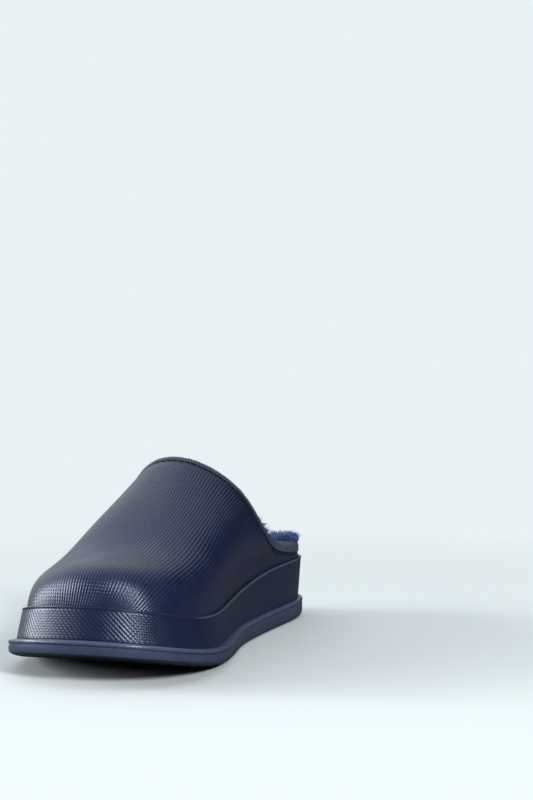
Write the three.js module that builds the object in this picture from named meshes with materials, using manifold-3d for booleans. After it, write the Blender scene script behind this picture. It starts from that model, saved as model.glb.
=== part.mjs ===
// Slip-on garden clog for the right foot, without a heel strap, lined with fleece.
// Millimetres. +Z is up, the toe points to -Y, the inner (medial) side of the foot is +X.
// The origin is the centre of the footprint on the ground plane.
//
// Pieces, from the ground up: outsole, midsole cup, upper shell, insole board, footbed,
// footbed fleece, vamp lining, quarter lining, collar binding, collar stitching.
import * as THREE from 'three';
import { mergeVertices } from 'three/addons/utils/BufferGeometryUtils.js';
import Module from 'manifold-3d';

const wasm = await Module();
wasm.setup();

// ---------------------------------------------------------------- driving dimensions
// Control points of the outsole outline, a closed cubic B-spline. It runs from the heel
// along the inner side to the toe and back along the outer side.
const OUTLINE = [
  [1.5, 144.5], [23.5, 140.5], [36.5, 116], [36, 78.5], [36.5, 39], [38.5, -2], [49, -43],
  [56, -84.5], [50, -124], [26, -141.5], [-4.5, -141.5], [-34, -128], [-51, -90.5],
  [-57.5, -47], [-52.5, -4], [-46.5, 39], [-42.5, 78.5], [-39.5, 116], [-23, 140.5],
];
// Control points of the collar's top edge, one for each point of the outline.
const RIM = [
  [1.5, 138.5, 41.6], [21, 136, 41.6], [32.5, 117, 41.9], [34.5, 99, 42.8], [34.5, 84, 44.8],
  [34.8, 70, 47], [35, 56, 50.5], [34, 40, 61], [32, 19, 80.5], [14, -5.5, 98.5],
  [-10.5, -5, 98], [-29.5, 14, 79.5], [-39, 36, 62], [-41.5, 53, 51.5], [-42, 68, 47],
  [-42.5, 83, 44.8], [-41.8, 100, 43], [-38.8, 120, 42], [-21.5, 137, 41.6],
];
// Between the band and the collar each line of the upper has four more control points:
// reach is how far they have gone towards the collar in plan, height is their Z.
const PROFILES = {
  toe: { reach: [0.0, 0.05, 0.33, 0.64], height: [47, 57, 54, 77] },
  toeInner: { reach: [0.02, 0.09, 0.33, 0.64], height: [42, 50.5, 53, 72] },
  toeOuter: { reach: [0.01, 0.09, 0.33, 0.64], height: [41, 47.5, 50, 70.5] },
  ballInner: { reach: [0.05, 0.2, 0.45, 0.7], height: [36, 44, 53, 65] },
  ballOuter: { reach: [0.03, 0.16, 0.42, 0.7], height: [35, 41.5, 50, 63] },
  waistInner: { reach: [0.05, 0.2, 0.45, 0.72], height: [35, 41, 47, 52] },
  waistOuter: { reach: [0.03, 0.2, 0.48, 0.74], height: [35, 42, 48, 55] },
  shank: { reach: [0.05, 0.2, 0.5, 0.78], height: [35, 38, 41, 43] },
  heel: { reach: [0.1, 0.3, 0.6, 0.85], height: [35, 37.5, 40, 42] },
};
// The profile of each outline point, in the same order.
const LINES = [
  'heel', 'heel', 'heel', 'heel', 'heel', 'shank', 'waistInner', 'ballInner', 'toeInner',
  'toe', 'toe', 'toeOuter', 'ballOuter', 'waistOuter', 'shank', 'heel', 'heel', 'heel', 'heel',
];

const TOE_Y = -139; // stations along the foot are counted from here
const TOE_SPRING = 13.2; // the sole's rise off the ground at the toe
const SPRING_LENGTH = 95; // the rise starts this far behind the toe
const OUTSOLE_FRONT = 8.5; // outsole thickness at the toe
const BAND_FRONT = 23.2; // height of the band's top over the sole's underside, at the toe
const FLANGE_FRONT = 4; // how far the outsole stands out past the band, at the toe
const BAND_LEAN = 3; // how far the band leans in on its way up, at the toe
const BAND_STEP = 1.8; // width of the step between the band's top and the upper
const BAND_LAP = 2.5; // how far the upper goes down behind the band before its skirt
const CUP_FLOOR = 4; // thickness of the cup's floor
const SKIRT_INSET = 4.5; // the skirt's foot inside the band's foot
const SHELL = 3; // thickness of the upper shell
const LINING = 2.6; // thickness of the fleece linings
const BOARD = 1.5; // thickness of the insole board
const FOOTBED_TOE = 4; // thickness of the footbed under the toes
const FOOTBED_HEEL = 7; // thickness of the footbed under the heel
const FOOTBED_RIM = 2; // how far the footbed's edge is raised at the heel
const FLEECE = 2.4; // thickness of the fleece on the footbed
const BINDING_FRONT = 3.8; // height of the binding over the instep
const BINDING_HEEL = 5; // height of the binding round the heel
const BINDING_SKIN = 1.1; // thickness of the binding's two legs
const GROOVE = 1.5; // width of the groove under the binding
const GROOVE_DEPTH = 1.5;
const THREAD = 0.42; // radius of the stitching thread
const GAP = 0.35; // clearance between pieces
const TREAD_DEPTH = 2.2;
const TREAD_PITCH = 10;
const TREAD_GROOVE = 3.6;
const TREAD_EDGE = 8; // the smooth border left round the tread
const HALF_COUNT = 34; // stations along each side of the foot
const UPPER_STEPS = 10; // steps from the band to the collar

// ---------------------------------------------------------------- curves and surfaces
const COLUMNS = OUTLINE.length;

function smooth(from, to, value) {
  const t = THREE.MathUtils.clamp((value - from) / (to - from), 0, 1);
  return t * t * (3 - 2 * t);
}

// Weights and indices of the four control points that shape a closed B-spline at u.
function around(u) {
  const t = (((u % 1) + 1) % 1) * COLUMNS;
  const i = Math.floor(t);
  const f = t - i;
  const weights = [
    (1 - f) ** 3 / 6,
    (3 * f ** 3 - 6 * f ** 2 + 4) / 6,
    (-3 * f ** 3 + 3 * f ** 2 + 3 * f + 1) / 6,
    f ** 3 / 6,
  ];
  return weights.map((weight, k) => [weight, (i + k - 1 + COLUMNS) % COLUMNS]);
}

// Weights of the six rows of a clamped cubic B-spline with knots at 1/3 and 2/3.
const KNOTS = [0, 0, 0, 0, 1 / 3, 2 / 3, 1, 1, 1, 1];
function along(v) {
  const t = THREE.MathUtils.clamp(v, 0, 1 - 1e-9);
  let basis = KNOTS.slice(0, -1).map((knot, i) => (t >= knot && t < KNOTS[i + 1] ? 1 : 0));
  for (let degree = 1; degree <= 3; degree += 1) {
    basis = basis.slice(0, -1).map((value, i) => {
      const rise = KNOTS[i + degree] - KNOTS[i];
      const fall = KNOTS[i + degree + 1] - KNOTS[i + 1];
      const left = rise > 0 ? ((t - KNOTS[i]) / rise) * value : 0;
      const right = fall > 0 ? ((KNOTS[i + degree + 1] - t) / fall) * basis[i + 1] : 0;
      return left + right;
    });
  }
  return basis;
}

function curvePoint(row, u) {
  const point = new THREE.Vector3();
  for (const [weight, i] of around(u)) point.addScaledVector(row[i], weight);
  return point;
}

function surfacePoint(net, u, v) {
  const point = new THREE.Vector3();
  along(v).forEach((weight, j) => {
    if (weight > 0) point.addScaledVector(curvePoint(net[j], u), weight);
  });
  return point;
}

// ---------------------------------------------------------------- levels of the sole
const bottom = (s) => TOE_SPRING * THREE.MathUtils.clamp(1 - s / SPRING_LENGTH, 0, 1) ** 2;
const outsoleTop = (s) =>
  bottom(s) + OUTSOLE_FRONT + 1.9 * smooth(60, 130, s) + 0.5 * smooth(180, 260, s);
const bandTop = (s) => bottom(s) + BAND_FRONT + 2.6 * smooth(50, 140, s) + 8.4 * smooth(135, 205, s);
const cupBottom = (s) => outsoleTop(s) + GAP;
const cupFloor = (s) => cupBottom(s) + CUP_FLOOR;
const boardTop = (s) => cupFloor(s) + GAP + BOARD;
const footbedBottom = (s) => boardTop(s) + GAP;
const footbedTop = (s) =>
  footbedBottom(s) + FOOTBED_TOE + (FOOTBED_HEEL - FOOTBED_TOE) * smooth(70, 170, s);

// Insets from the outsole's outline.
const flange = (s) => FLANGE_FRONT - 1.4 * smooth(60, 160, s);
const bandInset = (s) => flange(s) + BAND_LEAN - 1.6 * smooth(60, 140, s) - 3.2 * smooth(160, 250, s);
const skirtInset = (s) => flange(s) + SKIRT_INSET;

// ---------------------------------------------------------------- control rows
const outwards = OUTLINE.map((_, i) => {
  const before = OUTLINE[(i + COLUMNS - 1) % COLUMNS];
  const after = OUTLINE[(i + 1) % COLUMNS];
  return new THREE.Vector2(before[1] - after[1], after[0] - before[0]).normalize();
});

// One closed control row: the outline moved in by inset(s), at the level height(s).
function row(inset, height) {
  return OUTLINE.map(([x, y], i) => {
    const s = Math.max(y - TOE_Y, 0);
    const d = inset(s);
    return new THREE.Vector3(x - outwards[i].x * d, y - outwards[i].y * d, height(s));
  });
}

function upperNet() {
  const base = row((s) => bandInset(s) + BAND_STEP, (s) => bandTop(s) - BAND_LAP);
  const rim = RIM.map(([x, y, z]) => new THREE.Vector3(x, y, z));
  const middle = [0, 1, 2, 3].map((k) =>
    base.map((start, i) => {
      const { reach, height } = PROFILES[LINES[i]];
      const point = start.clone().lerp(rim[i], reach[k]);
      point.z = height[k];
      return point;
    }),
  );
  return [base, ...middle, rim];
}
const NET = upperNet();

// The outward direction at every control point of the upper, itself a smooth field.
const DIRECTIONS = [0, 1 / 9, 1 / 3, 2 / 3, 8 / 9, 1].map((v) =>
  OUTLINE.map((_, i) => {
    const u = i / COLUMNS;
    const w = THREE.MathUtils.clamp(v, 0.001, 0.999);
    const rise = surfacePoint(NET, u, w + 0.001).sub(surfacePoint(NET, u, w - 0.001));
    const run = surfacePoint(NET, u + 0.001, w).sub(surfacePoint(NET, u - 0.001, w));
    return rise.cross(run).normalize();
  }),
);

// A point of the upper at depth t inside its outer surface.
function layerPoint(u, v, depth) {
  return surfacePoint(NET, u, v).addScaledVector(surfacePoint(DIRECTIONS, u, v), -depth);
}

// ---------------------------------------------------------------- stations round the foot
// Stations run toe, inner side, heel, outer side; station i and station COUNT - i face
// each other across the foot, so flat surfaces are ladders of quads between them.
const COUNT = 2 * HALF_COUNT;

function stations() {
  const flat = row(() => 0, () => 0);
  const steps = 2400;
  const samples = Array.from({ length: steps }, (_, k) => [k / steps, curvePoint(flat, k / steps).y]);
  const toe = samples.reduce((a, b) => (b[1] < a[1] ? b : a));
  const heel = samples.reduce((a, b) => (b[1] > a[1] ? b : a));
  const heelU = heel[0] > 0.5 ? heel[0] - 1 : heel[0];
  const find = (y, from, to) => {
    let [low, high] = [from, to];
    for (let k = 0; k < 40; k += 1) {
      const middle = (low + high) / 2;
      if (curvePoint(flat, middle).y < y) low = middle;
      else high = middle;
    }
    return (low + high) / 2;
  };
  const list = [];
  for (let i = 0; i < COUNT; i += 1) {
    const share = (1 - Math.cos((Math.PI * i) / HALF_COUNT)) / 2;
    const y = toe[1] + (heel[1] - toe[1]) * share;
    if (i === 0) list.push(toe[0]);
    else if (i === HALF_COUNT) list.push(heelU);
    else if (i < HALF_COUNT) list.push(find(y, toe[0], heelU));
    else list.push(find(y, toe[0], heelU + 1));
  }
  return list;
}
const STATIONS = stations();
const loop = (inset, height) => {
  const controls = row(inset, height);
  return STATIONS.map((u) => curvePoint(controls, u));
};

// ---------------------------------------------------------------- building solids
class Body {
  constructor() {
    this.points = [];
    this.faces = [];
  }

  add(points) {
    const first = this.points.length;
    this.points.push(...points);
    return points.map((_, i) => first + i);
  }

  quad(a, b, c, d) {
    if (a !== b && b !== c && c !== a) this.faces.push([a, b, c]);
    if (a !== c && c !== d && d !== a) this.faces.push([a, c, d]);
  }

  // Join two strings of points of equal length.
  strip(one, two, closed) {
    const count = closed ? one.length : one.length - 1;
    for (let i = 0; i < count; i += 1) {
      const j = (i + 1) % one.length;
      this.quad(one[i], one[j], two[j], two[i]);
    }
  }

  // Close a loop round the foot, facing up or down. With bend, each rung of the ladder has
  // inner points lifted by it.
  lid(ring, up, rungs = 1, bend = null) {
    const across = [];
    for (let i = 0; i <= HALF_COUNT; i += 1) {
      const a = ring[i];
      const b = ring[(COUNT - i) % COUNT];
      const inner = [];
      if (a !== b) {
        for (let k = 1; k < rungs; k += 1) {
          const share = k / rungs;
          const point = this.points[a].clone().lerp(this.points[b], share);
          point.z += bend(point.y - TOE_Y, share);
          inner.push(point);
        }
      }
      const middle = a === b ? Array(rungs - 1).fill(a) : this.add(inner);
      across.push([a, ...middle, b]);
    }
    for (let i = 0; i < HALF_COUNT; i += 1) {
      const [one, two] = up ? [across[i + 1], across[i]] : [across[i], across[i + 1]];
      this.strip(one, two, false);
    }
  }

  geometry() {
    const volume = this.faces.reduce((sum, [a, b, c]) => {
      const [p, q, r] = [this.points[a], this.points[b], this.points[c]];
      return sum + p.dot(q.clone().cross(r));
    }, 0);
    const faces = volume < 0 ? this.faces.map(([a, b, c]) => [a, c, b]) : this.faces;
    const geometry = new THREE.BufferGeometry();
    geometry.setAttribute(
      'position',
      new THREE.Float32BufferAttribute(this.points.flatMap((p) => p.toArray()), 3),
    );
    geometry.setIndex(faces.flat());
    return geometry;
  }
}

// Rings stacked from the lower lid to the upper lid.
function stack(rings, rungs = 1, bend = null) {
  const body = new Body();
  const indexed = rings.map((ring) => body.add(ring));
  for (let i = 0; i + 1 < indexed.length; i += 1) body.strip(indexed[i], indexed[i + 1], true);
  body.lid(indexed[0], false);
  body.lid(indexed.at(-1), true, rungs, bend);
  return body;
}

// A section swept round the foot; open sweeps are closed by ladders at both ends.
function sweep(sections, closed) {
  const body = new Body();
  const indexed = sections.map((section) => body.add(section));
  const count = closed ? indexed.length : indexed.length - 1;
  for (let i = 0; i < count; i += 1) body.strip(indexed[i], indexed[(i + 1) % indexed.length], true);
  if (!closed) {
    for (const end of [indexed[0], indexed.at(-1)]) {
      const half = end.length / 2;
      const back = end.slice(half).reverse();
      const ladder = [end.slice(0, half), back];
      if (end === indexed[0]) ladder.reverse();
      body.strip(ladder[0], ladder[1], false);
    }
  }
  return body;
}

// ---------------------------------------------------------------- booleans
function solid(geometry) {
  const bare = geometry.clone();
  bare.deleteAttribute('normal');
  bare.deleteAttribute('uv');
  const merged = mergeVertices(bare, 1e-5);
  return new wasm.Manifold(
    new wasm.Mesh({
      numProp: 3,
      vertProperties: new Float32Array(merged.attributes.position.array),
      triVerts: new Uint32Array(merged.index.array),
    }),
  );
}

function fromSolid(manifold) {
  const mesh = manifold.getMesh();
  const geometry = new THREE.BufferGeometry();
  geometry.setAttribute('position', new THREE.Float32BufferAttribute(mesh.vertProperties, 3));
  geometry.setIndex(new THREE.BufferAttribute(new Uint32Array(mesh.triVerts), 1));
  return geometry;
}

// ---------------------------------------------------------------- the sole
// One chevron groove across the sole, as a prism taller than the sole.
function chevron(y) {
  const reach = 70;
  const sweepBack = 16;
  const half = TREAD_GROOVE / 2;
  const shape = new THREE.Shape([
    new THREE.Vector2(-reach, y + sweepBack - half),
    new THREE.Vector2(0, y - half),
    new THREE.Vector2(reach, y + sweepBack - half),
    new THREE.Vector2(reach, y + sweepBack + half),
    new THREE.Vector2(0, y + half),
    new THREE.Vector2(-reach, y + sweepBack + half),
  ]);
  const prism = new THREE.ExtrudeGeometry(shape, { depth: 40, bevelEnabled: false });
  return prism.translate(0, 0, -10);
}

// The layer of the sole that the grooves are cut from, between two stations.
function treadLayer() {
  const inset = () => TREAD_EDGE;
  const rings = [
    loop(inset, (s) => bottom(s) - 4),
    loop(inset, (s) => bottom(s) + TREAD_DEPTH),
  ];
  return solid(stack(rings).geometry());
}

function outsoleGeometry() {
  const rings = [
    loop(() => 1.6, bottom),
    loop(() => 0.3, (s) => bottom(s) + 1.4),
    loop(() => 0, (s) => bottom(s) + 3),
    loop(() => 0, (s) => outsoleTop(s) - 1),
    loop(() => 0.7, outsoleTop),
  ];
  let sole = solid(stack(rings).geometry());
  const layer = treadLayer();
  const cutRow = (from, to) => {
    for (let y = from; y <= to; y += TREAD_PITCH) {
      sole = sole.subtract(solid(chevron(y)).intersect(layer));
    }
  };
  cutRow(-142, -32);
  cutRow(52, 122);
  return fromSolid(sole);
}

function cupGeometry() {
  const middle = (s) => (flange(s) + bandInset(s)) / 2;
  const inner = (s) => bandInset(s) + BAND_STEP - GAP;
  const rings = [
    loop(flange, cupBottom),
    loop(middle, (s) => (cupBottom(s) + bandTop(s)) / 2),
    loop(bandInset, (s) => bandTop(s) - 0.6),
    loop((s) => bandInset(s) + 0.5, bandTop),
    loop(inner, bandTop),
    loop(inner, (s) => bandTop(s) - BAND_LAP),
    loop((s) => skirtInset(s) - GAP, cupFloor),
  ];
  return stack(rings).geometry();
}

function boardGeometry() {
  const inset = (s) => skirtInset(s) + SHELL + 0.5;
  return stack([loop(inset, (s) => cupFloor(s) + GAP), loop(inset, boardTop)]).geometry();
}

// The cupped surface shared by the footbed and its fleece: low in the middle.
const footbedInset = (s) => skirtInset(s) + SHELL + 0.6 + LINING + 0.5;
const cupping = (s, share) => -FOOTBED_RIM * smooth(60, 190, s) * Math.sin(Math.PI * share) ** 0.7;

function footbedGeometry() {
  const edge = (s) => footbedTop(s) + FOOTBED_RIM * smooth(60, 190, s);
  const rings = [
    loop(footbedInset, footbedBottom),
    loop(footbedInset, (s) => edge(s) - 0.6),
    loop((s) => footbedInset(s) + 0.8, edge),
  ];
  return stack(rings, 6, cupping).geometry();
}

function footbedFleeceGeometry() {
  const under = (s) => footbedTop(s) + FOOTBED_RIM * smooth(60, 190, s) + GAP;
  const inset = (s) => footbedInset(s) + 0.8;
  const body = new Body();
  const lower = body.add(loop(inset, under));
  const upper = body.add(loop(inset, (s) => under(s) + FLEECE));
  body.strip(lower, upper, true);
  body.lid(lower, false, 6, cupping);
  body.lid(upper, true, 6, cupping);
  return body.geometry();
}

// ---------------------------------------------------------------- the upper and its layers
// Height of the binding at u.
function bindingHeight(u) {
  const { y } = surfacePoint(NET, u, 1);
  return BINDING_FRONT + (BINDING_HEEL - BINDING_FRONT) * smooth(20, 80, y);
}

// The v where the outer surface is a distance away from its top edge.
const EDGE_STEPS = 900;
const EDGE_REACH = 54; // steps looked at on each side
const EDGE = Array.from({ length: EDGE_STEPS }, (_, k) => surfacePoint(NET, k / EDGE_STEPS, 1));
function below(u, distance) {
  const first = Math.round(u * EDGE_STEPS) - EDGE_REACH;
  const near = Array.from(
    { length: 2 * EDGE_REACH + 1 },
    (_, k) => EDGE[(((first + k) % EDGE_STEPS) + EDGE_STEPS) % EDGE_STEPS],
  );
  const segment = new THREE.Line3();
  const closest = new THREE.Vector3();
  let [low, high] = [0.1, 1];
  for (let step = 0; step < 24; step += 1) {
    const middle = (low + high) / 2;
    const point = surfacePoint(NET, u, middle);
    let nearest = Infinity;
    for (let k = 0; k + 1 < near.length; k += 1) {
      segment.set(near[k], near[k + 1]).closestPointToPoint(point, true, closest);
      nearest = Math.min(nearest, closest.distanceTo(point));
    }
    if (nearest > distance) low = middle;
    else high = middle;
  }
  return (low + high) / 2;
}

// A point at depth t, a height above the lower edge of the binding.
function collarPoint(u, depth, height) {
  return layerPoint(u, below(u, bindingHeight(u) - height), depth);
}

// One layer's line from its foot inside the cup up to a height at the collar.
function layerLine(u, depth, foot, top) {
  const controls = row((s) => skirtInset(s) + depth, foot);
  const last = below(u, bindingHeight(u) - top);
  const line = [curvePoint(controls, u)];
  for (let k = 0; k <= UPPER_STEPS; k += 1) line.push(layerPoint(u, (last * k) / UPPER_STEPS, depth));
  return line;
}

function upperGeometry() {
  const foot = (s) => cupFloor(s) + GAP;
  const sections = STATIONS.map((u) => {
    const top = bindingHeight(u) - 1.9;
    return [
      ...layerLine(u, 0, foot, -GROOVE),
      collarPoint(u, GROOVE_DEPTH, -GROOVE),
      collarPoint(u, GROOVE_DEPTH, top),
      ...layerLine(u, SHELL, foot, top).reverse(),
    ];
  });
  return sweep(sections, true).geometry();
}

function liningGeometry(from, to) {
  const foot = (s) => boardTop(s) + GAP;
  const span = (((to - from) % 1) + 1) % 1;
  const inside = STATIONS.map((u) => (((u - from) % 1) + 1) % 1)
    .filter((offset) => offset > 0.004 && offset < span - 0.004)
    .sort((a, b) => a - b);
  const sections = [0, ...inside, span].map((offset) => {
    const u = from + offset;
    const top = bindingHeight(u) - 2.3;
    return [
      ...layerLine(u, SHELL + 0.6, foot, top),
      ...layerLine(u, SHELL + 0.6 + LINING, foot, top).reverse(),
    ];
  });
  return sweep(sections, false).geometry();
}

function bindingGeometry() {
  const inner = SHELL + 0.6 + LINING + 0.4;
  const sections = STATIONS.map((u) => {
    const height = bindingHeight(u);
    const outline = [
      [-0.2, 0.1],
      [-0.2, height - 0.9],
      [0.9, height],
      [inner + 0.3, height],
      [inner + BINDING_SKIN, height - 0.9],
      [inner + BINDING_SKIN, 0.1],
      [inner, 0.1],
      [inner, height - 1.5],
      [BINDING_SKIN - 0.2, height - 1.5],
      [BINDING_SKIN - 0.2, 0.1],
    ];
    return outline.map(([depth, level]) => collarPoint(u, depth, level));
  });
  return sweep(sections, true).geometry();
}

function stitchingGeometry() {
  const sides = 5;
  const sections = STATIONS.map((u) =>
    Array.from({ length: sides }, (_, k) => {
      const angle = (2 * Math.PI * k) / sides;
      return collarPoint(u, 0.6 + THREAD * Math.cos(angle), -GROOVE / 2 + THREAD * Math.sin(angle));
    }),
  );
  return sweep(sections, true).geometry();
}

// ---------------------------------------------------------------- the clog
const LINING_SPLIT_INNER = 4.2 / COLUMNS;
const LINING_SPLIT_OUTER = 14.8 / COLUMNS;
const SEAM = 0.0012; // half the seam between the linings, as a share of the way round

const FINISHES = {
  outsole: { color: 0x36415a, roughness: 0.42, metalness: 0 },
  moulded: { color: 0x333c52, roughness: 0.55, metalness: 0 },
  board: { color: 0x2b3040, roughness: 0.9, metalness: 0 },
  foam: { color: 0x2e3a5c, roughness: 0.85, metalness: 0 },
  fleece: { color: 0x31508f, roughness: 1, metalness: 0 },
  thread: { color: 0x252c3d, roughness: 0.8, metalness: 0 },
};

const clog = new THREE.Group();

function place(name, geometry, finish) {
  const mesh = new THREE.Mesh(geometry, new THREE.MeshStandardMaterial(FINISHES[finish]));
  mesh.name = name;
  clog.add(mesh);
}

place('outsole', outsoleGeometry(), 'outsole');
place('midsole_cup', cupGeometry(), 'moulded');
place('upper_shell', upperGeometry(), 'moulded');
place('insole_board', boardGeometry(), 'board');
place('footbed', footbedGeometry(), 'foam');
place('footbed_fleece', footbedFleeceGeometry(), 'fleece');
place('vamp_lining', liningGeometry(LINING_SPLIT_INNER + SEAM, LINING_SPLIT_OUTER - SEAM), 'fleece');
place('quarter_lining', liningGeometry(LINING_SPLIT_OUTER + SEAM, LINING_SPLIT_INNER - SEAM), 'fleece');
place('collar_binding', bindingGeometry(), 'moulded');
place('collar_stitching', stitchingGeometry(), 'thread');

// Put the origin at the centre of the footprint.
const footprint = new THREE.Box3().setFromPoints(loop(() => 0, () => 0));
const centre = footprint.getCenter(new THREE.Vector3());
clog.position.set(-centre.x, -centre.y, 0);
clog.updateMatrixWorld(true);

export default clog;
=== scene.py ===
"""Fleece-lined garden clog for the right foot, in a plain pale studio.

Shapes are worked out in millimetres in the part's own frame: +Z up, the toe points to -Y and
the inner side of the foot is +X. Meshes go to Blender in metres.
"""

import math

import bmesh
import bpy
import numpy as np
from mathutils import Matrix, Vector


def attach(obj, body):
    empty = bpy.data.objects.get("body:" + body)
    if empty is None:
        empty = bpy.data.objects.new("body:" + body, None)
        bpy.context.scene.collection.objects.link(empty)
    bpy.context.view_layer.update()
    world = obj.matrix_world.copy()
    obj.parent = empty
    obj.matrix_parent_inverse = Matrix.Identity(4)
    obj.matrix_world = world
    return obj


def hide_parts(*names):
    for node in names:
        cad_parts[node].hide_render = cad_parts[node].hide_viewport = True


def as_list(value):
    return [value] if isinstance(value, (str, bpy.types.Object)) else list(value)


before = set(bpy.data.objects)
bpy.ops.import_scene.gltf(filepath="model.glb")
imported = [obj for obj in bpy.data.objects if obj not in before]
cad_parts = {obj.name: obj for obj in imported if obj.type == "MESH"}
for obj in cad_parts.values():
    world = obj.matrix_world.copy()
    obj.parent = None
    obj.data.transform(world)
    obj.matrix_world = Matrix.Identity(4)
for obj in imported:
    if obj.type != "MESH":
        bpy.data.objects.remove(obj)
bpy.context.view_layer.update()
MM = 0.001

# ---- driving dimensions, in mm
# control points of the footprint, and of the upper's top edge, from the heel round the inner side
OUTLINE = np.array([
    (1.5, 144.5), (23.5, 140.5), (36.5, 116), (36, 78.5), (36.5, 39), (38.5, -2), (49, -43),
    (56, -84.5), (50, -124), (26, -141.5), (-4.5, -141.5), (-34, -128), (-51, -90.5),
    (-57.5, -47), (-52.5, -4), (-46.5, 39), (-42.5, 78.5), (-39.5, 116), (-23, 140.5)])
RIM = np.array([
    (1.5, 138.5, 41.6), (21, 136, 41.6), (32.5, 117, 41.9), (34.5, 99, 42.8), (34.5, 84, 44.8),
    (34.8, 70, 47), (35, 56, 50.5), (34, 40, 61), (32, 19, 80.5), (14, -5.5, 98.5),
    (-10.5, -5, 98), (-29.5, 14, 79.5), (-39, 36, 62), (-41.5, 53, 51.5), (-42, 68, 47),
    (-42.5, 83, 44.8), (-41.8, 100, 43), (-38.8, 120, 42), (-21.5, 137, 41.6)])
# how far each of the four rows between has gone from the foot to the top edge, and its level
PROFILES = {
    "toe": ((0.0, 0.05, 0.33, 0.64), (47, 57, 54, 77)),
    "toe_inner": ((0.02, 0.09, 0.33, 0.64), (42, 50.5, 53, 72)),
    "toe_outer": ((0.01, 0.09, 0.33, 0.64), (41, 47.5, 50, 70.5)),
    "ball_inner": ((0.05, 0.2, 0.45, 0.7), (36, 44, 53, 65)),
    "ball_outer": ((0.03, 0.16, 0.42, 0.7), (35, 41.5, 50, 63)),
    "waist_inner": ((0.05, 0.2, 0.45, 0.72), (35, 41, 47, 52)),
    "waist_outer": ((0.03, 0.2, 0.48, 0.74), (35, 42, 48, 55)),
    "shank": ((0.05, 0.2, 0.5, 0.78), (35, 38, 41, 43)),
    "heel": ((0.1, 0.3, 0.6, 0.85), (35, 37.5, 40, 42)),
}
# the profile of each column
LINES = (["heel"] * 5 + ["shank", "waist_inner", "ball_inner", "toe_inner", "toe", "toe",
         "toe_outer", "ball_outer", "waist_outer", "shank"] + ["heel"] * 4)
COLUMNS = len(OUTLINE)
TOE_Y = -139.0
SHELL = 3.0
LINING = 2.6
LINING_GAP = 0.6
OUTER_FACE = SHELL + LINING_GAP  # depths of the lining's two faces inside the upper
INNER_FACE = OUTER_FACE + LINING
BAND_STEP = 1.8  # width of the band's top
BAND_LAP = 2.5  # how far the band stands up round the upper
SKIRT_INSET = 4.5  # of the shell's foot, which stands in the cup
CUP_FLOOR = 4.0
TOE_SPRING = 13.2
SPRING_LENGTH = 95.0
GAP = 0.35
GROOVE = 1.5
GROOVE_DEPTH = 1.5
BINDING_SKIN = 1.1
BINDING_PITCH = 1.5
BINDING_RIB = 0.42
STITCH_PITCH = 3.4
STITCH_SHARE = 0.66  # of the pitch that the stitch itself takes
STITCH_RADIUS = 0.40
STITCH_DROP = 0.75
TUCK = 1.9  # how far below the top edge the shell ends, inside the binding
LINING_TOP = 2.3  # how far below the upper's top edge the lining and its pile end
WALL_TOP = 2.5
BOARD = 1.5
FOOTBED = 4
HEEL_LIFT = 3  # how much thicker the footbed is at the heel
FOOTBED_GAP = 1.3  # between the footbed's cover and the wall linings
CUPPING = 2.0  # how far the footbed's middle lies below its edge at the heel
COVER = 2.0  # thickness of the fleece cover on the footbed
LINING_SPLIT_INNER = 4.2 / COLUMNS
LINING_SPLIT_OUTER = 14.8 / COLUMNS
LINING_COLUMNS = 330  # for a whole turn
LINING_SEAM = 0.0012  # half the gap between the two linings, in u

DIVISIONS = 12 * COLUMNS  # equal steps of u in which the ribs are laid out
FIRST_DIVISION = 4.0
RIB_CENTRE = 118.0  # division at the middle of the toe, where the ribs stand upright
RIB_ORIGIN = 90.0  # division where the count of ribs is nil
RIB_DENSITY = 0.85  # ribs to a division on the sides
CROWDING = (88.0, 27.0)  # division where the ribs start to crowd, and the ribs that adds
RIB_HEIGHT = 0.36
BEAD_END = 49.0  # how far up from the toe the rows are close enough for beads
BEAD_STEP = 0.31
RIB_FADE = (7.5, 12.0)  # the ribs at which the pattern dies out on the sides
FAINT_RIBS = 43  # ribs beyond those that still show faintly
BEAD_PITCH = 1.6
BEAD_LEAN = 0.4
BAND_PITCH = 1.65
BAND_RELIEF = 0.34
SIDE_RIB_PITCH = 2.4
SIDE_RIB_HEIGHT = 0.12
RELIEF_SINK = (0.12, 0.14)  # how far the hollows go in on the upper and on the band
TREAD_STRETCHES = ((-136, -32), (52, 122))
TREAD_BARS = ((1.6, 15.0, 0.0), (18.2, 30.5, 5.0), (33.5, 70.0, 0.0))  # from, to, shift back
TREAD_PITCH = 10.0
TREAD_GROOVE = 3.8
TREAD_DEPTH = 2.8
TREAD_SLOPE = 0.23
TREAD_MARGIN = 3.2

# ---- curves and surfaces


def smooth(start, end, x):
    """From 0 at the start to 1 at the end, level at both."""
    t = np.clip((np.asarray(x, float) - start) / (end - start), 0, 1)
    return t * t * (3 - 2 * t)


def around(u):
    """Weights (n, COLUMNS) of a closed cubic B-spline's control points at each u."""
    t = np.mod(np.atleast_1d(np.asarray(u, float)), 1.0) * COLUMNS
    i = np.floor(t).astype(int)
    f = t - i
    parts = ((1 - f) ** 3 / 6, (3 * f**3 - 6 * f**2 + 4) / 6,
             (-3 * f**3 + 3 * f**2 + 3 * f + 1) / 6, f**3 / 6)
    weights = np.zeros((len(t), COLUMNS))
    for k, part in enumerate(parts):
        np.add.at(weights, (np.arange(len(t)), (i + k - 1) % COLUMNS), part)
    return weights


KNOTS = np.array([0, 0, 0, 0, 1 / 3, 2 / 3, 1, 1, 1, 1])


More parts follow.
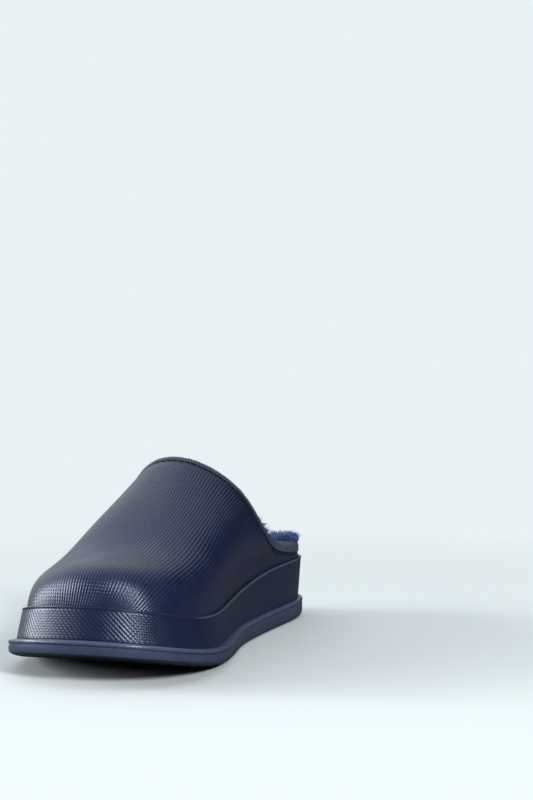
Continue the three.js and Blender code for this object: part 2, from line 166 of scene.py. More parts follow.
def along(v):
    """Weights (n, 6) of a clamped cubic B-spline's six rows at each v."""
    t = np.clip(np.asarray(v, float), 0, 1 - 1e-9)
    basis = [((t >= a) & (t < b)).astype(float) for a, b in zip(KNOTS[:-1], KNOTS[1:])]
    for degree in (1, 2, 3):
        share = [(t - a) / (b - a) if b > a else 0 * t for a, b in zip(KNOTS, KNOTS[degree:])]
        basis = [share[i] * basis[i] + (1 - share[i + 1]) * basis[i + 1]
                 for i in range(len(basis) - 1)]
    return np.stack(basis, -1)


def curve(row, u):
    return around(u) @ row


def surface(net, u, v):
    """Points of the surface at matching arrays of u and v, whatever their shape."""
    shape = np.shape(u)
    rows = np.einsum("nk,jkd->njd", around(np.ravel(u)), net)
    return np.einsum("nj,njd->nd", along(np.ravel(v)), rows).reshape(shape + (3,))


def unit(a):
    return a / np.maximum(np.linalg.norm(a, axis=-1, keepdims=True), 1e-12)


def arc(points):
    """Length along each string of points, from its first point."""
    step = np.linalg.norm(np.diff(points, axis=0), axis=-1)
    return np.concatenate([0 * step[:1], np.cumsum(step, axis=0)])


# ---- levels of the sole
# s is the distance behind the toe


def from_toe(y):
    return np.maximum(y - TOE_Y, 0)


def bottom(s):
    return TOE_SPRING * np.clip(1 - np.asarray(s, float) / SPRING_LENGTH, 0, 1) ** 2


def outsole_top(s):
    return bottom(s) + 8.5 + 1.9 * smooth(60, 130, s) + 0.5 * smooth(180, 260, s)


def band_top(s):
    return bottom(s) + 23.2 + 2.6 * smooth(50, 140, s) + 8.4 * smooth(135, 205, s)


def cup_bottom(s):
    return outsole_top(s) + GAP


def cup_floor(s):
    return cup_bottom(s) + CUP_FLOOR


def board_top(s):
    return cup_floor(s) + GAP + BOARD


def footbed_top(s):
    return board_top(s) + GAP + FOOTBED + HEEL_LIFT * smooth(70, 170, s)


def flange(s):
    return 4 - 1.4 * smooth(60, 160, s)


def band_inset(s):
    return flange(s) + 3 - 1.6 * smooth(60, 140, s) - 3.2 * smooth(160, 250, s)


def skirt_inset(s):
    return flange(s) + SKIRT_INSET


before, after = np.roll(OUTLINE, 1, 0), np.roll(OUTLINE, -1, 0)
OUTWARDS = unit(np.stack([before[:, 1] - after[:, 1], after[:, 0] - before[:, 0]], 1))


def row(inset, height):
    """One closed control row: the outline moved in by inset(s), at the level height(s)."""
    s = from_toe(OUTLINE[:, 1])
    d = np.broadcast_to(inset(s) if callable(inset) else inset, s.shape)
    z = np.broadcast_to(height(s) if callable(height) else height, s.shape)
    return np.column_stack([OUTLINE - OUTWARDS * d[:, None], z])


def upper_net():
    """The six rows of control points of the upper, from its foot to its top edge."""
    base = row(lambda s: band_inset(s) + BAND_STEP, lambda s: band_top(s) - BAND_LAP)
    rows = [base]
    for k in range(4):
        reach = np.array([PROFILES[name][0][k] for name in LINES])[:, None]
        points = base + (RIM - base) * reach
        points[:, 2] = [PROFILES[name][1][k] for name in LINES]
        rows.append(points)
    return np.stack([*rows, RIM])


NET = upper_net()


def directions():
    """Control points of a field of outward directions on the surface."""
    out = []
    u = np.arange(COLUMNS) / COLUMNS
    for v in (0, 1 / 9, 1 / 3, 2 / 3, 8 / 9, 1):
        w = np.full(COLUMNS, np.clip(v, 0.001, 0.999))
        rise = surface(NET, u, w + 0.001) - surface(NET, u, w - 0.001)
        run = surface(NET, u + 0.001, w) - surface(NET, u - 0.001, w)
        out.append(unit(np.cross(rise, run)))
    return np.stack(out)


DIRECTIONS = directions()


def layer(u, v, depth):
    """Points of the upper at a depth inside its outer surface."""
    depth = np.broadcast_to(np.asarray(depth, float), np.shape(u))[..., None]
    return surface(NET, u, v) - depth * surface(DIRECTIONS, u, v)


def top_edge(u):
    return surface(NET, u, np.ones(np.shape(u)))


def binding_height(u):
    """How far the binding reaches down from the top edge."""
    return 3.8 + 1.2 * smooth(20, 80, top_edge(u)[..., 1])


EDGE_STEPS = 900
EDGE_REACH = 54
EDGE_DISTANCES = np.linspace(0, 10, 41)


def edge_table():
    """The v where each column is at each of EDGE_DISTANCES from the upper's top edge."""
    u = np.arange(EDGE_STEPS) / EDGE_STEPS
    edge = top_edge(u)
    v = np.linspace(0.1, 1, 120)
    start = (np.arange(EDGE_STEPS)[:, None] + np.arange(-EDGE_REACH, EDGE_REACH)) % EDGE_STEPS
    a, b = edge[start], edge[(start + 1) % EDGE_STEPS]
    side = b - a
    square = np.sum(side * side, -1)
    found = np.empty((EDGE_STEPS, len(v)))
    for j, at in enumerate(v):
        gap = surface(NET, u, np.full(EDGE_STEPS, at))[:, None] - a
        t = np.clip(np.sum(gap * side, -1) / square, 0, 1)
        found[:, j] = np.linalg.norm(gap - side * t[..., None], axis=-1).min(1)
    return np.stack([np.interp(-EDGE_DISTANCES, -row_of, v) for row_of in found])


EDGE_TABLE = edge_table()


def below(u, distance):
    """The v where the outer surface is a distance away from its top edge."""
    t = np.mod(u, 1.0) * EDGE_STEPS
    i = np.floor(t).astype(int) % EDGE_STEPS
    f = t - np.floor(t)
    d = np.clip(distance / EDGE_DISTANCES[1], 0, len(EDGE_DISTANCES) - 1.001)
    j = np.floor(d).astype(int)
    g = d - j
    low, high = (EDGE_TABLE[k, j] * (1 - g) + EDGE_TABLE[k, j + 1] * g
                 for k in (i, (i + 1) % EDGE_STEPS))
    return low * (1 - f) + high * f


def collar(u, depth, height):
    """Points at a depth, a height above the binding's lower edge."""
    return layer(u, below(u, binding_height(u) - height), depth)


# ---- stations round the foot
FINE = 6000
FLAT = row(0, 0)
U_FINE = np.linspace(0, 1, FINE, endpoint=False)
FOOTPRINT = curve(FLAT, U_FINE)
CENTRE = (FOOTPRINT.min(0) + FOOTPRINT.max(0)) / 2


def stations(front_step, rear_step, front_y):
    """Values of u from the toe along the inner side to the heel and back, in facing pairs."""
    toe, heel = (U_FINE[pick(FOOTPRINT[:, 1])] for pick in (np.argmin, np.argmax))
    heel = heel - 1 if heel > 0.5 else heel
    inner = np.linspace(toe, heel, FINE)
    outer = np.linspace(toe, heel + 1, FINE)
    points = curve(FLAT, inner)
    step = front_step + (rear_step - front_step) * smooth(front_y, front_y + 30, points[:, 1])
    count = np.concatenate([[0], np.cumsum(np.diff(arc(points)) / step[1:])])
    half = int(round(count[-1]))
    u_inner = np.interp(np.linspace(0, count[-1], half + 1), count, inner)
    y_inner = curve(FLAT, u_inner)[:, 1]
    u_outer = np.interp(y_inner[1:-1], curve(FLAT, outer)[:, 1], outer)
    return np.concatenate([u_inner, u_outer[::-1]])


# ---- building meshes
def in_scene(name, data):
    """A new object with this data, in the scene."""
    made = bpy.data.objects.new(name, data)
    bpy.context.scene.collection.objects.link(made)
    return made


class Body:
    """Collects points in mm, a tone from 0 to 1 for each, and faces, for one mesh object."""

    def __init__(self):
        self.points = []
        self.tones = []
        self.count = 0
        self.quads = []
        self.others = []

    def add(self, points, tone=0.5):
        points = np.asarray(points, float).reshape(-1, 3)
        self.points.append(points)
        self.tones.append(np.broadcast_to(np.asarray(tone, float).ravel(), len(points)))
        self.count += len(points)
        return np.arange(self.count - len(points), self.count)

    def strip(self, one, two, closed=True):
        """Quads between two strings of points of equal length."""
        if closed:
            quads = [one, np.roll(one, -1), np.roll(two, -1), two]
        else:
            quads = [one[:-1], one[1:], two[1:], two[:-1]]
        self.quads.append(np.stack(quads, 1))

    def grid(self, table, closed=True):
        """Quads over a table of indices, one row after the other."""
        for one, two in zip(table[:-1], table[1:]):
            self.strip(one, two, closed)

    def lid(self, ring, up, rungs=1, bend=None):
        """Closes a loop of facing stations with a ladder."""
        points = np.concatenate(self.points)
        share = np.arange(1, rungs) / rungs
        rows = []
        for i in range(len(ring) // 2 + 1):
            a, b = ring[i], ring[(len(ring) - i) % len(ring)]
            if a == b:
                rows.append([a] * (rungs + 1))
                continue
            inner = points[a] + (points[b] - points[a]) * share[:, None]
            if bend:
                inner[:, 2] += bend(inner[:, 1] - TOE_Y, share)
            rows.append([a, *self.add(inner), b])
        for one, two in zip(rows[:-1], rows[1:]):
            if up:
                one, two = two, one
            for k in range(rungs):
                face = list(dict.fromkeys((one[k], one[k + 1], two[k + 1], two[k])))
                if len(face) > 2:
                    self.others.append(face)

    def caps(self, first, last):
        """One face over each end of a tube."""
        self.others += [first[::-1].tolist(), last.tolist()]

    def ring(self, u, inset, height, tone):
        """A closed ring round the foot, inset from the outline and at a level."""
        return self.add(curve(row(inset, height), u), tone)

    def merge(self, ring, coarse, picks, flip=False):
        """Joins a fine closed ring to a coarse one; picks are the ring's places that match."""
        n = len(picks)
        for k in range(n):
            start, end = picks[k], picks[(k + 1) % n]
            end = end if end > start else end + len(ring)
            span = [ring[i % len(ring)] for i in range(start, end + 1)]
            face = [*span, coarse[(k + 1) % n], coarse[k]]
            self.others.append(face[::-1] if flip else face)

    def make(self, name, material):
        """The mesh object, with its faces turned outwards."""
        points = np.concatenate(self.points)
        faces = np.concatenate(self.quads).tolist() if self.quads else []
        faces += [[int(i) for i in face] for face in self.others]
        fans = np.array([(face[0], b, c) for face in faces for b, c in zip(face[1:-1], face[2:])])
        a, b, c = (points[corner] for corner in fans.T)
        if np.sum(a * np.cross(b, c)) < 0:
            faces = [face[::-1] for face in faces]
        mesh = bpy.data.meshes.new(name)
        mesh.from_pydata(((points - CENTRE) * MM).tolist(), [], faces)
        tone = mesh.attributes.new("tone", "FLOAT", "POINT")
        tone.data.foreach_set("value", np.concatenate(self.tones).astype(np.float32))
        mesh.polygons.foreach_set("use_smooth", np.ones(len(mesh.polygons), bool))
        mesh.materials.append(material)
        return in_scene(name, mesh)


def normals_of(table):
    """Outward unit normals of a closed grid of points (rows, columns, 3)."""
    run = np.roll(table, -1, 1) - np.roll(table, 1, 1)
    rise = np.gradient(table, axis=0)
    return unit(np.cross(rise, run))


def lattice_noise(points, size, seed):
    """Smooth noise from -1 to 1 on a lattice of cubes of the given size."""
    p = np.asarray(points, float) / size
    base = np.floor(p).astype(np.int64)
    f = p - base
    f = f * f * (3 - 2 * f)
    total = np.zeros(p.shape[:-1])
    for corner in range(8):
        offset = np.array([corner & 1, (corner >> 1) & 1, corner >> 2])
        cell = base + offset
        mixed = (cell[..., 0] * 374761393 + cell[..., 1] * 668265263
                 + cell[..., 2] * 2147483647 + seed * 144269504) & 0xFFFFFFFF
        mixed = ((mixed ^ (mixed >> 13)) * 1274126177) & 0xFFFFFFFF
        value = (mixed ^ (mixed >> 16)) / 0xFFFFFFFF * 2 - 1
        weight = np.prod(np.where(offset, f, 1 - f), axis=-1)
        total += value * weight
    return total


def lumps(points, size, fine_size, seed):
    """The unevenness of fleece."""
    fine = lattice_noise(points, fine_size, seed + 1)
    return 0.5 * lattice_noise(points, size, seed) + 0.35 * fine


def sway(points, size, seed):
    """Three smooth noises as the parts of a vector."""
    return np.stack([lattice_noise(points, size, seed + k) for k in (2, 3, 4)], -1)


# ---- materials
def material(name, colour, roughness, **sockets):
    """A material, its node tree and its shader."""
    m = bpy.data.materials.new(name)
    m.use_nodes = True
    m.diffuse_color = (*colour, 1)
    shader = m.node_tree.nodes["Principled BSDF"]
    shader.inputs["Base Color"].default_value = (*colour, 1)
    shader.inputs["Roughness"].default_value = roughness
    shader.inputs["Specular IOR Level"].default_value = 0.4
    shader.inputs["Specular Tint"].default_value = (0.74, 0.84, 1.0, 1)
    for key, value in sockets.items():
        shader.inputs[key.replace("_", " ")].default_value = value
    return m, m.node_tree, shader


def node(tree, kind, **settings):
    """A new node; settings that start with _ go to its inputs."""
    n = tree.nodes.new(kind)
    for key, value in settings.items():
        if key.startswith("_"):
            n.inputs[key[1:].replace("_", " ")].default_value = value
        else:
            setattr(n, key, value)
    return n


def coords(tree):
    return node(tree, "ShaderNodeTexCoord").outputs["Object"]


def noise(tree, vector, scale, detail=3, rough=0.55):
    n = node(tree, "ShaderNodeTexNoise", _Scale=scale, _Detail=detail, _Roughness=rough)
    tree.links.new(vector, n.inputs["Vector"])
    return n.outputs["Fac"]


def ramp(tree, fac, stops):
    r = node(tree, "ShaderNodeValToRGB")
    elements = r.color_ramp.elements
    while len(elements) < len(stops):
        elements.new(0.5)
    for element, (at, colour) in zip(elements, stops):
        element.position = at
        element.color = (*colour, 1)
    tree.links.new(fac, r.inputs["Fac"])
    return r.outputs["Color"]


def span(tree, fac, low, high, start=0.0, end=1.0, kind="LINEAR"):
    """Takes start..end to low..high."""
    r = node(tree, "ShaderNodeMapRange", interpolation_type=kind)
    for key, value in (("From Min", start), ("From Max", end), ("To Min", low), ("To Max", high)):
        r.inputs[key].default_value = value
    tree.links.new(fac, r.inputs["Value"])
    return r.outputs["Result"]


def math_node(tree, operation, one, two):
    m = node(tree, "ShaderNodeMath", operation=operation)
    for socket, value in zip(m.inputs, (one, two)):
        if isinstance(value, (int, float)):
            socket.default_value = value
        else:
            tree.links.new(value, socket)
    return m.outputs["Value"]


def mix(tree, fac, one, two, blend="MIX"):
    m = node(tree, "ShaderNodeMix", data_type="RGBA", blend_type=blend)
    for place, value in ((0, fac), (6, one), (7, two)):
        socket = m.inputs[place]
        if isinstance(value, tuple):
            socket.default_value = (*value, 1)
        elif isinstance(value, (int, float)):
            socket.default_value = value
        else:
            tree.links.new(value, socket)
    return m.outputs[2]


def mix_shaders(tree, fac, one, two):
    m = node(tree, "ShaderNodeMixShader")
    for socket, source in zip(m.inputs, (fac, one, two)):
        tree.links.new(source, socket)
    return m.outputs["Shader"]


def bump(tree, shader, height, strength, distance):
    b = node(tree, "ShaderNodeBump", _Strength=strength, _Distance=distance)
    tree.links.new(height, b.inputs["Height"])
    tree.links.new(b.outputs["Normal"], shader.inputs["Normal"])


def coat(tree, shader, colour, patches, rough):
    """A colour that changes a little in patches, and a roughness."""
    tree.links.new(mix(tree, 1.0, colour, patches, "MULTIPLY"), shader.inputs["Base Color"])
    tree.links.new(rough, shader.inputs["Roughness"])


def tone_of(tree):
    return node(tree, "ShaderNodeAttribute", attribute_name="tone").outputs["Fac"]


def moulded(name, shaded_valley, crest, roughness, grain, edge=None):
    """Moulded foam rubber: painted highlight on crests and a brighter one along lips, painted shade in
    hollows and grooves; smoother on crests.
    """
    m, tree, shader = material(name, crest, roughness, Specular_IOR_Level=0.65)
    place = coords(tree)
    tone = tone_of(tree)
    # painted light: the first colour is painted shade in hollows, the crest colour a painted
    # highlight, the edge colour a brighter painted highlight on lips
    relief = ramp(tree, tone, [(0.05, shaded_valley), (0.85, crest), (1.0, edge or crest)])
    patches = noise(tree, place, 60, 4, 0.6)
    shade = ramp(tree, patches, [(0.35, (0.86, 0.86, 0.88)), (0.65, (1.08, 1.08, 1.06))])
    in_patches = span(tree, patches, roughness - 0.05, roughness + 0.06, 0.3, 0.7)
    on_crests = span(tree, tone, 0.04, -0.03)
    coat(tree, shader, relief, shade, math_node(tree, "ADD", in_patches, on_crests))
    bump(tree, shader, noise(tree, place, 2600, 3, 0.6), grain, 0.00012)
    return m


def fleece(name, root, middle, tip):
    """Pile fibres: darker at the root (painted shade among the fibres), brighter at the tip (painted
    light), different from tuft to tuft.
    """
    m, tree, shader = material(name, middle, 0.85, Specular_IOR_Level=0.25, Sheen_Weight=0.35,
                               Sheen_Roughness=0.5, Sheen_Tint=(0.45, 0.6, 1.0, 1))
    place = coords(tree)
    shade = ramp(tree, tone_of(tree), [(0.0, root), (0.5, middle), (1.0, tip)])
    patches = ramp(tree, noise(tree, place, 150, 3),
                   [(0.3, (0.75, 0.78, 0.85)), (0.7, (1.15, 1.12, 1.1))])
    coat(tree, shader, shade, patches, span(tree, noise(tree, place, 900, 2), 0.75, 0.95))
    bump(tree, shader, noise(tree, place, 1800, 2), 0.4, 0.0003)
    return m


def cloth(name, dark, light, pitch):
    """Woven or pressed fibre: two crossing sets of threads at the given pitch, in metres."""
    m, tree, shader = material(name, light, 0.85, Sheen_Weight=0.15)
    place = coords(tree)
    waves = []
    for axis in ("X", "Y"):
        w = node(tree, "ShaderNodeTexWave", wave_type="BANDS", bands_direction=axis,
                 _Scale=1 / pitch / 2, _Distortion=1.5, _Detail=2.0)
        tree.links.new(place, w.inputs["Vector"])
        waves.append(w.outputs["Fac"])
    weave = math_node(tree, "MULTIPLY", waves[0], waves[1])
    base = ramp(tree, weave, [(0.1, dark), (0.8, light)])
    patches = ramp(tree, noise(tree, place, 90, 3),
                   [(0.3, (0.85, 0.85, 0.87)), (0.7, (1.1, 1.1, 1.1))])
    coat(tree, shader, base, patches, span(tree, weave, 0.95, 0.75))
    bump(tree, shader, weave, 0.5, 0.0002)
    return m


# painted light: each skin's first colour is painted shade for hollows and grooves, its second a
# painted highlight for crests, and edge a brighter painted highlight along the band's and outsole's
# lips
UPPER_SKIN = moulded("upper_skin", (0.006, 0.010, 0.028), (0.018, 0.029, 0.082), 0.35, 0.3)
BAND_SKIN = moulded("band_skin", (0.005, 0.009, 0.028), (0.018, 0.028, 0.074), 0.34, 0.3,
                    edge=(0.085, 0.100, 0.140))
SOLE_SKIN = moulded("sole_skin", (0.028, 0.042, 0.090), (0.070, 0.094, 0.168), 0.32, 0.2,
                    edge=(0.090, 0.112, 0.180))
RIBBED_SKIN = moulded("binding_skin", (0.018, 0.026, 0.052), (0.072, 0.092, 0.150), 0.62, 0.5)
# fleece colours run root, middle, tip: the dark root is painted shade, the pale tip painted light
PILE = fleece("pile", (0.004, 0.010, 0.050), (0.012, 0.036, 0.160), (0.036, 0.078, 0.270))
BACKING = fleece("backing", (0.008, 0.018, 0.070), (0.016, 0.044, 0.170), (0.030, 0.070, 0.250))
THREAD_SKIN = cloth("thread_skin", (0.003, 0.004, 0.010), (0.008, 0.010, 0.022), 0.0005)
BOARD_SKIN = cloth("board_skin", (0.016, 0.020, 0.034), (0.034, 0.040, 0.060), 0.0009)
FOAM_SKIN = cloth("foam_skin", (0.018, 0.030, 0.075), (0.032, 0.050, 0.115), 0.0007)


# ---- the upper shell
def rib_relief(p, q, beads):
    """Height of the relief, 0 to 1: smooth ribs that break up into slanted beads at the toe."""
    crest = 0.5 + 0.5 * np.cos(2 * np.pi * p)
    off = (p + 0.5) % 1 - 0.5
    dash = 0.5 + 0.5 * np.cos(2 * np.pi * (q / BEAD_PITCH - BEAD_LEAN * off))
    between = 0.5 + 0.5 * np.cos(2 * np.pi * (q / BEAD_PITCH + 0.5))
    ribs = crest ** 1.2
    beaded = crest ** 0.9 * (0.6 + 0.4 * dash ** 0.8) + (1 - crest) ** 2.5 * 0.4 * between
    return ribs * (1 - beads) + beaded * beads


def rib_count(division):
    """Ribs between RIB_ORIGIN and another division, at the foot of the upper."""
    start, added = CROWDING
    inner = np.where(division > RIB_CENTRE, 2 * RIB_CENTRE - division, division)
    t = np.clip((inner - start) / (RIB_CENTRE - start), 0, 1)
    count = RIB_DENSITY * (inner - RIB_ORIGIN) + added * (t**3 - t**4 / 2)
    whole = 2 * (RIB_DENSITY * (RIB_CENTRE - RIB_ORIGIN) + added / 2)
    return np.where(division > RIB_CENTRE, whole - count, count)


RIB_MIRROR = float(2 * rib_count(np.array(RIB_CENTRE)))


def rib_phase(division, q):
    """The rib that passes a place q mm up the upper: ribs lean inwards as they leave the toe."""
    count = rib_count(division)
    spread = 0.72 + 0.28 * np.exp(-q / 14) + 0.17 * smooth(50, 105, q)
    # higher up, the ribs of the inner side lie closer together
    start, length = 84, 30
    t = np.clip((division - start) / length, 0, 1)
    closer = np.minimum(division - start, 0) + length * (t - t**3 + t**4 / 2) - 13.4
    drift = 11.7 * (1 - np.exp(-q / 12)) + 0.35 * smooth(50, 125, q) * closer
    near = smooth(38, 70, division) * (1 - smooth(166, 198, division))
    return count + near * (count * (spread - 1) + drift)


def upper_columns():
    """The rib of every column, whether it is in the beaded front, and the places of whole ribs."""
    first, last = rib_count(FIRST_DIVISION + np.array([0, DIVISIONS]))
    ribs, fine, whole = [], [], []
    for rib in range(math.ceil(first), math.ceil(last)):
        whole.append(len(ribs))
        inwards = min(rib, RIB_MIRROR - rib) - RIB_FADE[0]
        steps = 6 if inwards >= 0 else (4 if inwards >= -FAINT_RIBS else 1)
        ribs += [rib + k / steps for k in range(steps) if rib + k / steps < last]
        fine += [steps == 6] * (len(ribs) - len(fine))
    return np.array(ribs), np.array(fine), np.array(whole)


def shell_top(u):
    """The v where the shell meets the groove under the binding."""
    return below(u, binding_height(u) + GROOVE)


def rib_paths(ribs, shares):
    """u of each rib at each share of the way up, a row for each share."""
    division = FIRST_DIVISION + np.linspace(0, DIVISIONS, 6 * DIVISIONS + 1)
    u = division / DIVISIONS
    probe = np.linspace(0, 1, 120)
    q = arc(surface(NET, np.broadcast_to(u, (len(probe), len(u))), probe[:, None] * shell_top(u)))
    at = shares * (len(probe) - 1)
    low = np.minimum(at.astype(int), len(probe) - 2)
    f = (at - low)[:, None]
    q = q[low] * (1 - f) + q[low + 1] * f
    rows = [np.interp(ribs, np.maximum.accumulate(rib_phase(division, line)), u) for line in q]
    return np.stack(rows)


def upper_rows():
    """Shares of the way up for the rows, and which of them the plainer columns keep."""
    probe = np.linspace(0, 1, 800)
    toe = np.full(len(probe), 0.5)
    length = arc(surface(NET, toe, probe * shell_top(toe)))
    beaded = np.arange(0, BEAD_END, BEAD_STEP)
    t = np.interp([*beaded, *np.linspace(BEAD_END, length[-1], 46)], length, probe)
    kept = np.zeros(len(t), bool)
    kept[:len(beaded):7] = True
    kept[len(beaded)::2] = True
    kept[-1] = True
    return t, kept


def upper_skin(ribs, t):
    """Points and tones of the shell's ribbed face, and the u of its columns on every row."""
    u_grid = rib_paths(ribs, t)
    flat = surface(NET, u_grid, t[:, None] * shell_top(u_grid))
    q = arc(flat)
    p = np.broadcast_to(ribs, q.shape)
    inwards = np.minimum(p, RIB_MIRROR - p)
    beads = smooth(*RIB_FADE, inwards) * (1 - smooth(32, 46, q + 5 * lattice_noise(flat, 14, 3)))
    faint = 0.5 * smooth(-34, -10, inwards) * smooth(25, 60, q)
    pattern = faint + (1 - faint) * smooth(*RIB_FADE, inwards)
    pattern = pattern * (1 - smooth(0.985, 1.0, t)[:, None]) * smooth(1.6, 3.6, q)
    relief = rib_relief(p, q, beads) * pattern
    height = relief * RIB_HEIGHT * (0.62 + 0.1 * beads) - RELIEF_SINK[0] * pattern
    # painted light: crests of ribs and beads get a lighter tone (painted highlight), the hollows
    # between a darker one (painted shade)
    tone = 0.45 * (1 - pattern) + relief * (0.55 + 0.1 * beads) + 0.2 * pattern
    return flat + normals_of(flat) * height[..., None], tone, u_grid


def upper_piece():
    """The shell: its ribbed face, the groove and leg behind the binding, and the plain inside."""
    ribs, fine, whole = upper_columns()
    t, kept = upper_rows()
    points, tone, u_grid = upper_skin(ribs, t)
    body = Body()
    ids = np.full(tone.shape, -1)
    present = fine[None, :] | kept[:, None]
    ids[present] = body.add(points[present], tone[present])
    columns = len(ribs)
    for c in range(columns):
        d = (c + 1) % columns
        both = np.flatnonzero(present[:, c] & present[:, d])
        if fine[c] and fine[d]:
            body.strip(ids[both, c], ids[both, d], closed=False)
            continue
        for low, high in zip(both[:-1], both[1:]):
            left = [i for i in ids[low:high + 1, c] if i >= 0]
            right = [i for i in ids[low:high + 1, d] if i >= 0]
            body.others.append([*left, *right[::-1]])
    u = u_grid[-1]
    # painted shade: the groove behind the binding, the inside and the foot of the shell get darker
    # tones than its plain outside
    ledge = body.add(collar(u, GROOVE_DEPTH, -GROOVE), 0.2)
    leg = body.add(collar(u, GROOVE_DEPTH, binding_height(u) - TUCK), 0.3)
    body.grid([ids[-1][::-1], ledge[::-1], leg[::-1]])
    inner = []
    levels = np.array([1.0, 0.75, 0.5, 0.25, 0.0])
    for level, u in zip(levels, rib_paths(ribs[whole], levels)):
        inner.append(body.add(layer(u, level * below(u, TUCK), SHELL), 0.3))
    inner.append(body.ring(u, lambda s: skirt_inset(s) + SHELL, lambda s: cup_floor(s) + GAP, 0.3))
    body.merge(leg, inner[0], whole, flip=True)
    body.grid([ring[::-1] for ring in inner])
    foot = body.ring(u, skirt_inset, lambda s: cup_floor(s) + GAP, 0.3)
    body.strip(inner[-1][::-1], foot[::-1])
    body.merge(ids[0], foot, whole, flip=False)
    return body.make("upper_body", UPPER_SKIN)


# ---- the band and the cup
def band_face(u):
    """Points and tones of the beaded face, the normals of its top and distances from the toe."""
    flat = np.stack([
        curve(row(lambda s: flange(s) + (band_inset(s) - flange(s)) * share,
                  lambda s: cup_bottom(s) - 0.3 + (band_top(s) - 0.7 - cup_bottom(s)) * share), u)
        for share in np.linspace(0, 1, 42)])
    normal = normals_of(flat)
    middle = len(flat) // 2
    ring = flat[middle]
    if np.sum(normal[middle, :, :2] * (ring[:, :2] - ring[:, :2].mean(0))) < 0:
        normal = -normal
    total = arc(np.vstack([ring, ring[:1]]))
    # distance round the foot, growing towards the inner side, nil at the toe
    a = total[:-1].copy()
    a[a > total[-1] / 2] -= total[-1]
    rise = arc(flat)
    s = from_toe(ring[:, 1])
    pattern = 1 - np.where(a < 0, smooth(60, 150, s), smooth(28, 86, s))
    phase = (a[None, :] + rise) / math.sqrt(2) / BAND_PITCH
    down = (a[None, :] - rise) / math.sqrt(2) * BEAD_PITCH / BAND_PITCH
    relief = rib_relief(phase, down, np.ones_like(phase))
    edge = smooth(0.3, 1.3, rise) * smooth(0.2, 1.2, rise[-1] - rise)
    # low upright ribs along the sides, behind the beads
    upright = (0.5 + 0.5 * np.cos(2 * np.pi * a / SIDE_RIB_PITCH)) ** 1.5 * SIDE_RIB_HEIGHT
    behind = smooth(90, 130, s) * (1 - smooth(210, 250, s))
    beaded = pattern * edge
    relief = relief * beaded
    height = relief * BAND_RELIEF - RELIEF_SINK[1] * beaded + upright * behind * edge
    # painted light: bead crests get a lighter tone (painted highlight), the hollows a darker one
    # (painted shade)
    tone = 0.45 * (1 - beaded) + 0.1 * beaded + relief * 0.75
    return flat + normal * height[..., None], tone, normal[-1], s


def cup_piece():
    """The cup under the foot with the beaded band that runs round it and ends in a lip."""
    u = stations(0.36, 0.8, -40)
    points, tone, outwards, s = band_face(u)
    body = Body()
    table = [body.add(one, its_tone) for one, its_tone in zip(points, tone)]
    lip = 0.22 + 0.5 * smooth(22, 66, s) * (1 - smooth(225, 262, s))

    def ring_at(inset, drop, bulge=0.0):
        base = curve(row(lambda q: band_inset(q) + inset, lambda q: band_top(q) + drop), u)
        return base + outwards * (lip * bulge)[:, None]

    lips = [(0.0, -0.75, 0.6), (0.0, -0.5, 1.0), (0.12, -0.2, 0.9), (0.35, 0.0, 0.5),
            (0.7, 0.05, 0.0), (1.0, -0.1, 0.0), (1.25, -0.45, 0.0)]
    for inset, drop, bulge in lips:
        # painted highlight: the lip rings get a paler tone, most along the sides where the lip bulges
        # most
        table.append(body.add(ring_at(inset, drop, bulge), 0.45 + 0.55 * smooth(0.25, 0.6, lip)))
    # painted shade: the band's inner face down along the upper, and the cup's inside, get dark tones
    for drop in (-0.7, -BAND_LAP):
        table.append(body.add(ring_at(BAND_STEP - GAP, drop), 0.1))
    table.append(body.ring(u, lambda q: skirt_inset(q) - GAP, cup_floor, 0.3))
    body.grid(table)
    body.lid(table[0], False)
    body.lid(table[-1], True)
    return body.make("cup_body", BAND_SKIN)


# ---- the outsole
def sole_blank():
    """The outsole without its tread; its lower edge is rounder towards the toe."""
    u = stations(1.0, 1.6, -60)
    body = Body()
    # inset and level along the sides, then at the toe
    lower = [(3.6, 0.0, 12.0, 0.0), (2.6, 0.1, 9.0, 0.25), (1.6, 0.5, 6.2, 0.7),
             (0.85, 1.2, 3.8, 1.2), (0.4, 2.1, 1.5, 1.8), (0.15, 3.0, 0.3, 2.4),
             (0.0, 4.0, 0.0, 3.2)]
    upper = [(0.0, -3.1), (0.02, -2.75), (0.30, -2.5), (0.55, -2.3), (0.55, -2.15), (0.25, -1.95),
             (-0.05, -1.7), (-0.16, -1.3), (-0.14, -0.8), (0.1, -0.35), (0.5, -0.08), (0.9, 0.0),
             (3.2, 0.0)]

    def towards_toe(s, value, at_toe):
        return value + (at_toe - value) * (1 - smooth(14, 74, s))

    table = []
    for inset, level, toe_inset, toe_level in lower:
        table.append(body.ring(u, lambda s: towards_toe(s, inset, toe_inset),
                               lambda s: bottom(s) + towards_toe(s, level, toe_level), 0.5))
    for inset, level in upper:
        # painted light: the top lip gets a tone near the edge colour (painted highlight), the groove
        # under it a dark tone (painted shade)
        tone = 0.92 if level > -1.9 else (0.1 if inset > 0.5 else 0.5)
        table.append(body.ring(u, inset, lambda s: outsole_top(s) + level, tone))
    body.grid(table)
    body.lid(table[0], False)
    body.lid(table[-1], True)
    return body.make("outsole_body", SOLE_SKIN)


